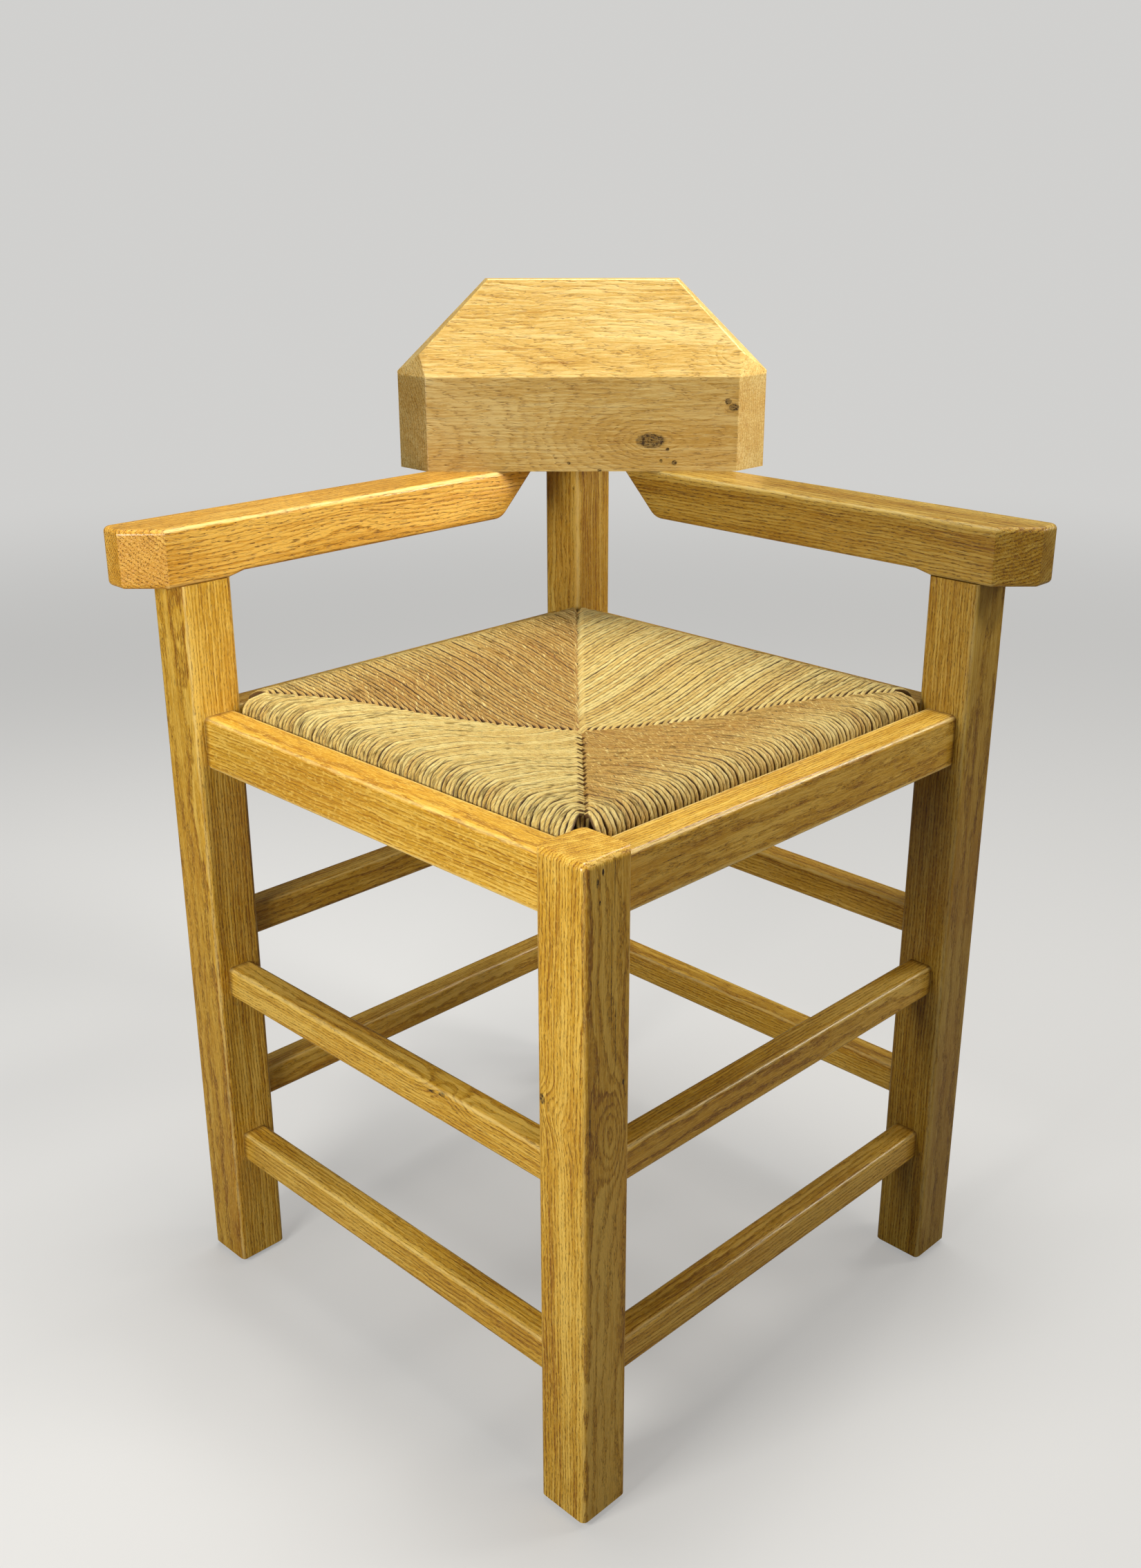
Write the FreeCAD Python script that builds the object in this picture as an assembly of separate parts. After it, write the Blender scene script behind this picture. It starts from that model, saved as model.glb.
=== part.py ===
import FreeCAD, Part
import os
from math import cos, radians, sin, sqrt, tan

V = FreeCAD.Vector
up = V(0, 0, 1)
origin = V(0, 0, 0)

# Corner chair in oak with a drop-in rush seat.
# The origin is on the floor under the middle of the square of legs.
# The front leg stands at -Y, the rear leg and the backrest at +Y, and Z is up.
# The four sides of the square run at 45 degrees to X and Y.
# Each side is drawn in a side frame, x along the side and -y outward, and then turned.

# Legs
leg = 39.0
side = 415.0
leg_round = 4.0
foot_chamfer = 1.5
front_leg_proud = 8.0
front_leg_top_round = 5.0

# Glides under the feet
glide_thick = 3.0
glide_r = 12.0
glide_nail_r = 1.2
glide_nail_long = 16.0

# Seat rails
rail_top = 455.0
rail_high = 37.0
rail_thick = 24.0
rail_crest_round = 4.0
rail_edge_round = 1.5

# Stretchers
stretcher_high = 24.0
stretcher_thick = 20.0
stretcher_round = 3.5
stretcher_low = 93.0
stretcher_gap = 118.5
back_lower_rise = 40.0
back_upper_rise = 37.0

# Mortise and tenon joints
tenon_shoulder = 4.0
stretcher_tenon = 8.0
rail_tenon = 10.0
square_tenon_long = 26.0
glue_gap = 0.1
mitre_gap = 0.5

# Arms
arm_under = 548.5
arm_high = 40.0
arm_overhang = 5.0
arm_front_reach = 32.0
arm_front_cut = 22.5
arm_rear_end = 122.0
arm_relief = 2.8
arm_relief_run = 12.0
arm_heel_round = 15.0
arm_round = 3.5
arm_tip_round = 7.0
post_tenon = 22.0
post_tenon_high = 28.0

# Backrest board
board_face = 177.0
board_thick = 23.0
board_half_face = 120.0
board_crease = 71.5
board_high = 142.0
board_lean = 14.0
board_top_thick = 11.0
board_half_top = 71.4
board_corner_slope = 44.0
board_corner_splay = 8.7
board_round = 1.5
board_shift = 3.0

# Corner block behind the board, over the arms' ends and the rear leg
block_high = 58.0
block_end_trim = 85.0
block_chamfer = 3.0
block_tenon = 25.0
block_tenon_high = 34.0

# Dowels
dowel_r = 4.0
arm_dowel_long = 34.0
short_dowel_long = 26.0
board_dowel_long = 36.0
board_dowel_depth = 14.0
board_dowel_step = 58.0
board_dowel_rise = 30.0
arm_dowel_inset = 12.0

# Cleats that carry the seat
cleat_top = 433.0
cleat_high = 14.0
cleat_thick = 18.0
cleat_long = 290.0
cleat_round = 1.5
pin_inset = 55.0
pin_wide = 3.0
pin_long = 36.0
pin_sink = 1.0

# Drop-in seat
seat_play = 1.2
seat_notch = 22.0
corner_clear = 3.0
rush_thick = 6.0
rush_under = 5.0
seat_crown = 467.0
seat_crown_inset = 17.0
seat_middle = 438.0
seat_middle_thick = 18.0
seat_shoulder = 12.0
seat_foot_round = 5.0
seat_shoulder_bulge = 0.3
seat_sag = 0.55
fill_clear = 1.0
frame_wide = 26.0
frame_high = 21.0
frame_round = 2.0
frame_tenon = 8.0
frame_tenon_long = 14.0

# How near two places must be to count as the same, and how far a cutting shape runs past a face
near = 0.01
past = 1.0

# Sizes that follow
half = side / 2
inner = half - leg
leg_mid = half - leg / 2
rail_in = leg_mid - rail_thick / 2
arm_top = arm_under + arm_high
arm_inner = inner
arm_outer = half + arm_overhang
seat_half = rail_in - seat_play
frame_out = seat_half - rush_under
frame_in = frame_out - frame_wide
frame_base = cleat_top + rush_under
board_base = arm_top
block_front = board_face + board_thick
turns = {"front_right": 45, "back_right": 135, "back_left": 225, "front_left": 315}
leg_turns = {"front": 45, "right": 135, "rear": 225, "left": 315}


def turned(shape, angle):
    moved = shape.copy()
    moved.rotate(origin, up, angle)
    return moved


def mirrored(shape):
    return shape.mirror(origin, V(1, 0, 0))


def block(x0, x1, y0, y1, z0, z1):
    return Part.makeBox(x1 - x0, y1 - y0, z1 - z0, V(x0, y0, z0))


def fused(shapes):
    whole = shapes[0]
    for shape in shapes[1:]:
        whole = whole.fuse(shape)
    return whole.removeSplitter()


def cut_all(shape, tools):
    for tool in tools:
        if shape.BoundBox.intersect(tool.BoundBox):
            shape = shape.cut(tool)
    return shape


def outline(points):
    return Part.Face(Part.makePolygon(points + [points[0]]))


def edges_where(shape, test):
    return [edge for edge in shape.Edges if test(edge)]


def along(edge, axis):
    ends = [v.Point for v in edge.Vertexes]
    if len(ends) != 2:
        return False
    run = (ends[1] - ends[0]).normalize()
    return abs(run.dot(axis)) > 1 - near


def middle(edge):
    return edge.valueAt((edge.FirstParameter + edge.LastParameter) / 2)


def rounded(shape, radius, test):
    return shape.makeFillet(radius, edges_where(shape, test))


# Rails and stretchers
# A member runs from leg to leg and has a tenon at each end.
# Where two tenons meet at one height in a leg, both are mitred on the leg's diagonal.
def tenon(end, z, high, thick, mitred, grow):
    low = z + tenon_shoulder - grow
    top = z + high - tenon_shoulder + grow
    reach = leg / 2 + thick / 2 + grow if mitred else square_tenon_long + grow
    y0 = -leg_mid - thick / 2 - grow
    y1 = -leg_mid + thick / 2 + grow
    if end < 0:
        stub = block(-inner - reach, -inner, y0, y1, low, top)
    else:
        stub = block(inner, inner + reach, y0, y1, low, top)
    if mitred:
        gap = mitre_gap - grow
        far = inner + leg + side
        keep = outline([V(0, -gap, low), V(end * far, -far - gap, low), V(0, -far - gap, low)])
        stub = stub.common(keep.extrude(V(0, 0, top - low)))
    return stub


def member(z, high, thick, tenon_thick, crest, edge_round, mitres):
    body = block(-inner, inner, -leg_mid - thick / 2, -leg_mid + thick / 2, z, z + high)
    long_way = V(1, 0, 0)
    body = rounded(body, edge_round, lambda e: along(e, long_way) and not at_crest(e, z + high))
    body = rounded(body, crest, lambda e: along(e, long_way) and at_crest(e, z + high))
    ends = [tenon(end, z, high, tenon_thick, mitred, 0) for end, mitred in zip((-1, 1), mitres)]
    return fused([body] + ends)


def at_crest(edge, top):
    spot = middle(edge)
    return abs(spot.z - top) < near and spot.y < -leg_mid


def sockets(z, high, tenon_thick, mitres):
    return [tenon(end, z, high, tenon_thick, m, glue_gap) for end, m in zip((-1, 1), mitres)]


parts = {}
mortises = []

# The two front sides share their stretcher heights and so do the two back sides.
# At the side legs the heights differ, so those tenons pass over each other.
stretcher_mitres = {"front_right": (True, False), "back_right": (False, True),
                    "back_left": (True, False), "front_left": (False, True)}
for name, angle in turns.items():
    back = name.startswith("back")
    rail_z = rail_top - rail_high
    rail = member(rail_z, rail_high, rail_thick, rail_tenon, rail_crest_round, rail_edge_round,
                  (True, True))
    parts[name + "_seat_rail"] = turned(rail, angle)
    mortises += [turned(s, angle) for s in sockets(rail_z, rail_high, rail_tenon, (True, True))]
    heights = {"lower": stretcher_low + (back_lower_rise if back else 0),
               "upper": stretcher_low + stretcher_high + stretcher_gap
               + (back_upper_rise if back else 0)}
    for level, z in heights.items():
        mitres = stretcher_mitres[name]
        bar = member(z, stretcher_high, stretcher_thick, stretcher_tenon, stretcher_round,
                     stretcher_round, mitres)
        parts[name + "_" + level + "_stretcher"] = turned(bar, angle)
        mortises += [turned(s, angle) for s in sockets(z, stretcher_high, stretcher_tenon, mitres)]


# Legs
def square_tenon(size, z, high, grow):
    reach = size / 2 + grow
    return block(-leg_mid - reach, -leg_mid + reach, -leg_mid - reach, -leg_mid + reach,
                 z, z + high + grow)


def leg_body(top):
    body = block(-half, -inner, -half, -inner, glide_thick, top)
    body = rounded(body, leg_round, lambda e: along(e, up))
    bottom = edges_where(body, lambda e: abs(middle(e).z - glide_thick) < near)
    body = body.makeChamfer(foot_chamfer, bottom)
    nail = Part.makeCylinder(glide_nail_r + glue_gap, glide_nail_long + glue_gap,
                             V(-leg_mid, -leg_mid, glide_thick))
    return body.cut(nail)


front_leg_top = rail_top + front_leg_proud
# The front leg's top is eased over on its two outer sides only.
cap = block(-half, half, -half, half, 0, front_leg_top)
cap = rounded(cap, leg_round, lambda e: along(e, up) and middle(e).x < 0 and middle(e).y < 0)
cap = rounded(cap, front_leg_top_round,
              lambda e: abs(middle(e).z - front_leg_top) < near and middle(e).x + middle(e).y < past - half)
front = leg_body(front_leg_top).common(cap)
side_post = fused([leg_body(arm_under), square_tenon(post_tenon, arm_under, post_tenon_high, 0)])
rear_post = fused([leg_body(board_base), square_tenon(block_tenon, board_base, block_tenon_high, 0)])
for name, body in {"front": front, "right": side_post, "rear": rear_post, "left": side_post}.items():
    parts[name + "_leg"] = cut_all(turned(body, leg_turns[name]), mortises)

# Glides: a disc under each foot and its nail
disc = Part.makeCylinder(glide_r, glide_thick, V(-leg_mid, -leg_mid, 0))
nail = Part.makeCylinder(glide_nail_r, glide_nail_long, V(-leg_mid, -leg_mid, glide_thick))
for name, angle in leg_turns.items():
    parts[name + "_glide"] = turned(fused([disc, nail]), angle)

# Arms
# The right arm is drawn in its side frame, from its front tip at -x to its rear end at +x.
tip = -half - arm_front_reach
plan = outline([V(tip, -arm_outer, arm_under), V(arm_rear_end, -arm_outer, arm_under),
                V(arm_rear_end, -arm_inner, arm_under), V(tip + arm_front_cut, -arm_inner, arm_under),
                V(tip, -arm_inner - arm_front_cut, arm_under)]).extrude(V(0, 0, arm_high))

# The underside steps up behind the post on a short slope and leaves under the back at 45 degrees.
relief_z = arm_under + arm_relief
relief_end = -inner + arm_relief_run
heel_x = arm_rear_end - (arm_top - relief_z)
heel_run = arm_heel_round * tan(radians(22.5))
heel_in = V(heel_x - heel_run, 0, relief_z)
heel_out = V(heel_x + heel_run * cos(radians(45)), 0, relief_z + heel_run * sin(radians(45)))
heel_mid = V(heel_in.x + arm_heel_round * sin(radians(22.5)), 0,
             relief_z + arm_heel_round * (1 - cos(radians(22.5))))
low_back = V(-inner, 0, arm_under)
low_front = V(tip, 0, arm_under)
top_front = V(tip, 0, arm_top)
top_back = V(arm_rear_end, 0, arm_top)
relief_start = V(relief_end, 0, relief_z)
elevation = Part.Face(Part.Wire([
    Part.makeLine(low_front, low_back),
    Part.makeLine(low_back, relief_start),
    Part.makeLine(relief_start, heel_in),
    Part.Arc(heel_in, heel_mid, heel_out).toShape(),
    Part.makeLine(heel_out, top_back),
    Part.makeLine(top_back, top_front),
    Part.makeLine(top_front, low_front)]))
elevation.translate(V(0, -arm_outer - past, 0))
arm = plan.common(elevation.extrude(V(0, arm_outer - arm_inner + 2 * past, 0)))


def arm_tip_edge(edge):
    spot = middle(edge)
    return along(edge, up) and spot.x < tip + past and spot.y < past - arm_outer


def arm_long_edge(edge):
    spot = middle(edge)
    at_side = min(abs(spot.y + arm_outer), abs(spot.y + arm_inner)) < near
    at_tip = spot.x < tip + arm_front_cut
    on_run = at_side and edge.Length > arm_round and spot.x < heel_x
    return (at_tip or on_run) and not along(edge, up)


arm = rounded(arm, arm_tip_round, arm_tip_edge)
arm = rounded(arm, arm_round, arm_long_edge)
arm = arm.cut(square_tenon(post_tenon, arm_under - past, post_tenon_high + past, glue_gap))
right_arm = turned(arm, turns["back_right"])

# Backrest board
# Its front is upright up to the crease and leans back above it.
lean_run = (board_high - board_crease) * tan(radians(board_lean))
crease_z = board_base + board_crease
board_top = board_base + board_high
board_back = board_face + board_thick
profile = outline([V(-side, board_face, board_base), V(-side, board_face, crease_z),
                   V(-side, board_face + lean_run, board_top),
                   V(-side, board_face + lean_run + board_top_thick, board_top),
                   V(-side, board_back, crease_z), V(-side, board_back, board_base)])
board = profile.extrude(V(2 * side, 0, 0))
deep = 2 * board_thick
board_plan = outline([V(-board_half_face, board_face, board_base),
                      V(board_half_face, board_face, board_base),
                      V(board_half_face + deep, board_face + deep, board_base),
                      V(-board_half_face - deep, board_face + deep, board_base)])
board = board.common(board_plan.extrude(V(0, 0, board_high)))

# Each top corner is sawn off, and the cut rises a little towards the back.
reach = 2 * board_high
slope = radians(board_corner_slope)
wedge = outline([V(board_half_top, 0, board_top),
                 V(board_half_top + reach * cos(slope), 0, board_top - reach * sin(slope)),
                 V(board_half_top + reach, 0, board_top + reach),
                 V(board_half_top - reach * cos(slope), 0, board_top + reach * sin(slope))])
corner = wedge.extrude(V(0, side, 0))
corner.translate(V(0, board_face + lean_run - side / 2, 0))
pivot = V(board_half_top, board_face + lean_run, board_top)
corner.rotate(pivot, V(cos(slope), 0, -sin(slope)), board_corner_splay)
board = board.cut(corner).cut(mirrored(corner))


def board_front_edge(edge):
    spot = middle(edge)
    on_face = abs(spot.y - board_face) < near or spot.z > crease_z + near
    return on_face and spot.y < board_back - near and spot.z > board_base + near


board_edges = edges_where(board, board_front_edge)
board_edges = [e for e in board_edges if abs(middle(e).z - crease_z) > near]
board = board.makeFillet(board_round, board_edges)
board.translate(V(board_shift, 0, 0))

# Corner block
# It fills the corner behind the board and lies over the arms' ends and the rear leg.
leg_reach = (half - leg_round) * sqrt(2) + leg_round
block_reach = arm_outer * sqrt(2)
block_corner_round = (block_reach - leg_reach) / (sqrt(2) - 1)
trim_y = block_front * sqrt(2) - block_end_trim
corner_block = outline([V(block_end_trim, trim_y, board_base), V(block_end_trim, arm_outer, board_base),
                        V(arm_outer, arm_outer, board_base), V(arm_outer, block_end_trim, board_base),
                        V(trim_y, block_end_trim, board_base)]).extrude(V(0, 0, block_high))
corner_block = rounded(corner_block, block_corner_round,
                       lambda e: along(e, up) and min(middle(e).x, middle(e).y) > arm_outer - past)
block_top = board_base + block_high
top_edges = edges_where(corner_block, lambda e: abs(middle(e).z - block_top) < near
                        and middle(e).x + middle(e).y > block_front * sqrt(2) + past)
corner_block = corner_block.makeChamfer(block_chamfer, top_edges)
corner_block = turned(corner_block, 45)
rear_socket = square_tenon(block_tenon, board_base - past, block_tenon_high + past, glue_gap)
rear_socket = turned(rear_socket, leg_turns["rear"])
corner_block = corner_block.cut(rear_socket)


# Dowels
def dowel(start, direction, long):
    return Part.makeCylinder(dowel_r, long, start, direction)


def dowel_hole(start, direction, long):
    return Part.makeCylinder(dowel_r + glue_gap, long + 2 * glue_gap, start - direction * glue_gap,
                             direction)


def both_sides(points):
    return points + [V(-p.x, p.y, p.z) for p in points]


arm_line = (arm_inner + arm_outer) / 2
board_line = (board_face + board_thick / 2) * sqrt(2)
into_board = V((2 * arm_line - board_line) / sqrt(2), board_line / sqrt(2), 0)
into_board.z = arm_top - arm_dowel_long / 2
block_dowel_v = arm_outer - arm_dowel_inset
block_dowel_u = arm_rear_end - arm_dowel_inset - dowel_r * 2
into_block = V((block_dowel_v - block_dowel_u) / sqrt(2), (block_dowel_v + block_dowel_u) / sqrt(2), 0)
into_block.z = arm_top - short_dowel_long / 2
board_dowels = [V(i * board_dowel_step, block_front - board_dowel_depth, board_base + board_dowel_rise)
                for i in (-1, 0, 1)]
back_way = V(0, 1, 0)
arm_pins = [dowel(p, up, arm_dowel_long) for p in both_sides([into_board])]
arm_pins += [dowel(p, up, short_dowel_long) for p in both_sides([into_block])]
arm_holes = [dowel_hole(p, up, arm_dowel_long) for p in both_sides([into_board])]
arm_holes += [dowel_hole(p, up, short_dowel_long) for p in both_sides([into_block])]
board_pins = [dowel(p, back_way, board_dowel_long) for p in board_dowels]
board_holes = [dowel_hole(p, back_way, board_dowel_long) for p in board_dowels]
parts["arm_dowels"] = Part.makeCompound(arm_pins)
parts["backrest_dowels"] = Part.makeCompound(board_pins)
parts["right_arm"] = cut_all(right_arm, arm_holes)
parts["left_arm"] = cut_all(mirrored(right_arm), arm_holes)
parts["backrest"] = cut_all(board, arm_holes + board_holes)
parts["corner_block"] = cut_all(corner_block, arm_holes + board_holes)

# Cleats and the square cut pins that hold them to the rails
cleat = block(-cleat_long / 2, cleat_long / 2, -rail_in, -rail_in + cleat_thick,
              cleat_top - cleat_high, cleat_top)
cleat = rounded(cleat, cleat_round, lambda e: along(e, V(1, 0, 0)) and middle(e).y > -rail_in + past)
pin_z = cleat_top - cleat_high / 2


def cleat_pin(x, grow):
    reach = pin_wide / 2 + grow
    head = -rail_in + cleat_thick - pin_sink
    return block(x - reach, x + reach, head - pin_long - grow, head + grow, pin_z - reach, pin_z + reach)


pin_places = [pin_inset - cleat_long / 2, cleat_long / 2 - pin_inset]
all_pins = []
for name, angle in turns.items():
    pins = [turned(cleat_pin(x, 0), angle) for x in pin_places]
    holes = [turned(cleat_pin(x, glue_gap), angle) for x in pin_places]
    parts[name + "_cleat"] = cut_all(turned(cleat, angle), holes)
    parts[name + "_seat_rail"] = cut_all(parts[name + "_seat_rail"], holes)
    all_pins += pins
parts["cleat_pins"] = Part.makeCompound(all_pins)

# Drop-in seat frame
# Two rails run through, and the other two are tenoned between them.
# Their corners are cut off square to the diagonal, clear of the legs' inner arrises.
leg_arris = (inner + leg_round) * sqrt(2) - leg_round
frame_reach = leg_arris - corner_clear


def corners_off(shape):
    keep = block(-frame_reach, frame_reach, -frame_reach, frame_reach, 0, rail_top)
    return shape.common(turned(keep, 45))


through = block(-frame_out, frame_out, -frame_out, -frame_in, frame_base, frame_base + frame_high)
between = block(-frame_in, frame_in, -frame_out, -frame_in, frame_base, frame_base + frame_high)
through = corners_off(through)
through = rounded(through, frame_round, lambda e: along(e, V(1, 0, 0)))
between = rounded(between, frame_round, lambda e: along(e, V(1, 0, 0)))


def frame_stub(end, grow):
    x0 = frame_in if end > 0 else -frame_in - frame_tenon_long - grow
    mid = (frame_out + frame_in) / 2
    low = frame_base + frame_high / 4 - grow
    return block(x0, x0 + frame_tenon_long + grow, -mid - frame_tenon / 2 - grow,
                 -mid + frame_tenon / 2 + grow, low, frame_base + frame_high * 3 / 4 + grow)


tenoned = fused([between, frame_stub(-1, 0), frame_stub(1, 0)])
stubs = [turned(frame_stub(end, glue_gap), turns[name])
         for name in ("front_right", "back_left") for end in (-1, 1)]
frame = {}
for name, angle in turns.items():
    if name in ("front_right", "back_left"):
        frame[name] = turned(tenoned, angle)
    else:
        frame[name] = cut_all(turned(through, angle), stubs)
    parts["seat_frame_" + name] = frame[name]


# Rush seat
# Each quarter has one section, from the rolled edge over the frame down to the middle.
# The four quarters are cut on the diagonals and meet there in a seam.
# The cords stop short of each corner and leave a notch in front of the leg.
def quarter(face):
    prism = face.extrude(V(2 * (seat_half - seat_notch), 0, 0))
    far = seat_half + past
    wedge = outline([V(0, 0, 0), V(-far, -far, 0), V(far, -far, 0)]).extrude(V(0, 0, side * 2))
    return prism.common(wedge)


def spline(points):
    curve = Part.BSplineCurve()
    curve.interpolate(points)
    return curve.toShape()


def at(inset, z):
    return V(seat_notch - seat_half, -seat_half + inset, z)


drop = seat_crown - seat_middle
crown = at(seat_crown_inset, seat_crown)
slope_run = seat_half - seat_crown_inset
# Share of the way in to the middle, and share of the drop reached there
dish = ((0.25, 0.19), (0.52, 0.58), (0.8, 0.89), (1.0, 1.0))


def dish_points(lower):
    return [at(seat_crown_inset + slope_run * t, seat_crown - drop * fall - lower) for t, fall in dish]


top_line = [crown] + dish_points(0)
shoulder = at(0, seat_crown - seat_shoulder)
shoulder_mid = at(seat_crown_inset * seat_shoulder_bulge, seat_crown - seat_shoulder * seat_shoulder_bulge)
foot_side = at(0, cleat_top + seat_foot_round)
foot_in = seat_foot_round * (1 - cos(radians(45)))
foot_mid = at(foot_in, cleat_top + foot_in)
foot = at(seat_foot_round, cleat_top)
flat_end = at(cleat_thick + rush_under * 2, cleat_top)
under_middle = at(seat_half, seat_middle - seat_middle_thick)
under_mid = at(seat_half * seat_sag, cleat_top - (cleat_top - under_middle.z) * seat_sag)
section = Part.Face(Part.Wire([
    Part.Arc(foot, foot_mid, foot_side).toShape(),
    Part.makeLine(foot_side, shoulder),
    Part.Arc(shoulder, shoulder_mid, crown).toShape(),
    spline(top_line),
    Part.makeLine(top_line[-1], under_middle),
    spline([under_middle, under_mid, flat_end]),
    Part.makeLine(flat_end, foot)]))

# The stuffing fills the pocket between the two layers of rush, inside the frame.
fill_start = seat_half - frame_in
fill_top = dish_points(rush_thick)
fill_edge = at(fill_start, fill_top[0].z + fill_clear * 2)
fill_foot = at(fill_start, frame_base + fill_clear)
fill_under = [under_middle + V(0, 0, rush_thick), under_mid + V(0, 0, rush_thick)]
filling = outline([fill_foot, fill_edge] + fill_top + fill_under)
cover = fused([turned(quarter(section), angle) for angle in turns.values()])
stuffing = fused([turned(quarter(filling), angle) for angle in turns.values()])
parts["rush_stuffing"] = stuffing
parts["rush_cover"] = cut_all(cover, list(frame.values()) + [stuffing])

os.makedirs("parts", exist_ok=True)
for name, shape in parts.items():
    shape.exportStep("parts/" + name + ".step")
    print(name, len(shape.Solids), "solid", round(shape.Volume / 1000, 1), "cm3", shape.isValid())
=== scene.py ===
from math import cos, pi, radians, sin, sqrt

import bpy
import numpy as np
from mathutils import Matrix, Vector


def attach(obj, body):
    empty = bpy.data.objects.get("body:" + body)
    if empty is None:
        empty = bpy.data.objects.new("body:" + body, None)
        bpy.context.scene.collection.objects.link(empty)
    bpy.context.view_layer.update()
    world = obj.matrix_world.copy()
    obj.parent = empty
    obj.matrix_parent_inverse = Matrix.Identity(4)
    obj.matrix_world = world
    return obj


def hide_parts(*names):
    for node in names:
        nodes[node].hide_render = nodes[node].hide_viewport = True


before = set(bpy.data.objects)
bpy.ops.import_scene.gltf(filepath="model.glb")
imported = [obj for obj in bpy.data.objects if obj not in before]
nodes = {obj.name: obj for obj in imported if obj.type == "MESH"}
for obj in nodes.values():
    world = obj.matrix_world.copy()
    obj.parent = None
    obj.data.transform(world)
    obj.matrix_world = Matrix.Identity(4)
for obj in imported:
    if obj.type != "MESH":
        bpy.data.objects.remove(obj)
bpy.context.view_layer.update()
scene = bpy.context.scene
scene.view_settings.view_transform = "Standard"
print("frame loaded,", len(nodes), "nodes")


# Shader helpers
def addNode(tree, kind, **settings):
    made = tree.nodes.new(kind)
    for key, value in settings.items():
        setattr(made, key, value)
    return made


# Joins a socket to another one or gives it a value. A colour is three numbers or four.
def feed(tree, socket, value):
    if isinstance(value, bpy.types.NodeSocket):
        tree.links.new(value, socket)
    elif socket.type == "RGBA":
        socket.default_value = (*value[:3], 1)
    else:
        socket.default_value = value


def maths(tree, operation, *values):
    made = addNode(tree, "ShaderNodeMath", operation=operation)
    for socket, value in zip(made.inputs, values):
        feed(tree, socket, value)
    return made.outputs[0]


def vectorMaths(tree, operation, *values):
    made = addNode(tree, "ShaderNodeVectorMath", operation=operation)
    for socket, value in zip(made.inputs, values):
        feed(tree, socket, value)
    return made.outputs["Value" if operation == "LENGTH" else "Vector"]


def scaleVector(tree, vector, factor):
    made = addNode(tree, "ShaderNodeVectorMath", operation="SCALE")
    feed(tree, made.inputs[0], vector)
    feed(tree, made.inputs["Scale"], factor)
    return made.outputs["Vector"]


def splitVector(tree, vector):
    made = addNode(tree, "ShaderNodeSeparateXYZ")
    feed(tree, made.inputs[0], vector)
    return made.outputs


# A scale says how often the noise changes along each axis
def noise(tree, vector, scale, detail=2.0, roughness=0.5, output="Fac"):
    made = addNode(tree, "ShaderNodeTexNoise")
    feed(tree, made.inputs["Vector"], vectorMaths(tree, "MULTIPLY", vector, scale))
    made.inputs["Scale"].default_value = 1.0
    made.inputs["Detail"].default_value = detail
    made.inputs["Roughness"].default_value = roughness
    return made.outputs[output]


# Adds a noise to a value, counted from the noise's middle
def addSpread(tree, value, field, amount):
    return maths(tree, "MULTIPLY_ADD", maths(tree, "SUBTRACT", field, 0.5), amount, value)


def ease(tree, value, low, high, toLow=0.0, toHigh=1.0):
    made = addNode(tree, "ShaderNodeMapRange", interpolation_type="SMOOTHSTEP")
    labels = ("Value", "From Min", "From Max", "To Min", "To Max")
    for label, item in zip(labels, (value, low, high, toLow, toHigh)):
        feed(tree, made.inputs[label], item)
    return made.outputs["Result"]


def blendColors(tree, factor, first, second, mode="MIX"):
    made = addNode(tree, "ShaderNodeMix", data_type="RGBA", blend_type=mode)
    feed(tree, made.inputs["Factor"], factor)
    colors = [s for s in made.inputs if s.type == "RGBA"]
    feed(tree, colors[0], first)
    feed(tree, colors[1], second)
    return [s for s in made.outputs if s.type == "RGBA"][0]


def mixShaders(tree, factor, first, second, out):
    made = addNode(tree, "ShaderNodeMixShader")
    for socket, value in zip(made.inputs, (factor, first, second)):
        feed(tree, socket, value)
    feed(tree, out.inputs["Surface"], made.outputs[0])


def evenLight(tree, kind, color, level):
    made = addNode(tree, kind)
    feed(tree, made.inputs["Color"], color)
    feed(tree, made.inputs["Strength"], level)
    return made.outputs[0]


def startMaterial(name):
    material = bpy.data.materials.new(name)
    material.use_nodes = True
    return material, material.node_tree, material.node_tree.nodes["Principled BSDF"]


def addBump(tree, shader, height, distance):
    bump = addNode(tree, "ShaderNodeBump")
    bump.inputs["Strength"].default_value = 1.0
    bump.inputs["Distance"].default_value = distance
    feed(tree, bump.inputs["Height"], height)
    feed(tree, shader.inputs["Normal"], bump.outputs["Normal"])


def makeGroup(name, inputs, outputs):
    group = bpy.data.node_groups.new(name, "ShaderNodeTree")
    for label, kind, value in inputs:
        socket = group.interface.new_socket(label, in_out="INPUT", socket_type="NodeSocket" + kind)
        if value is not None:
            socket.default_value = (*value, 1) if kind == "Color" else value
    for label, kind in outputs:
        group.interface.new_socket(label, in_out="OUTPUT", socket_type="NodeSocket" + kind)
    return group, group.nodes.new("NodeGroupInput").outputs, group.nodes.new("NodeGroupOutput").inputs


def useGroup(tree, group, values):
    made = addNode(tree, "ShaderNodeGroup", node_tree=group)
    for label, value in values.items():
        feed(tree, made.inputs[label], value)
    return made.outputs


# Camera, floor and lights
cameraLook = {
    "place": (-0.0085, -1.0766, 0.813),
    "turn": -0.085,     # degrees, to the right
    "tilt": -21.155,    # degrees, down
    "roll": -0.124,
    "lens": 36.91,      # millimetres on a 36 mm long side
    "sensor": 36,
    "near": 0.05,
    "far": 60,
}


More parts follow.
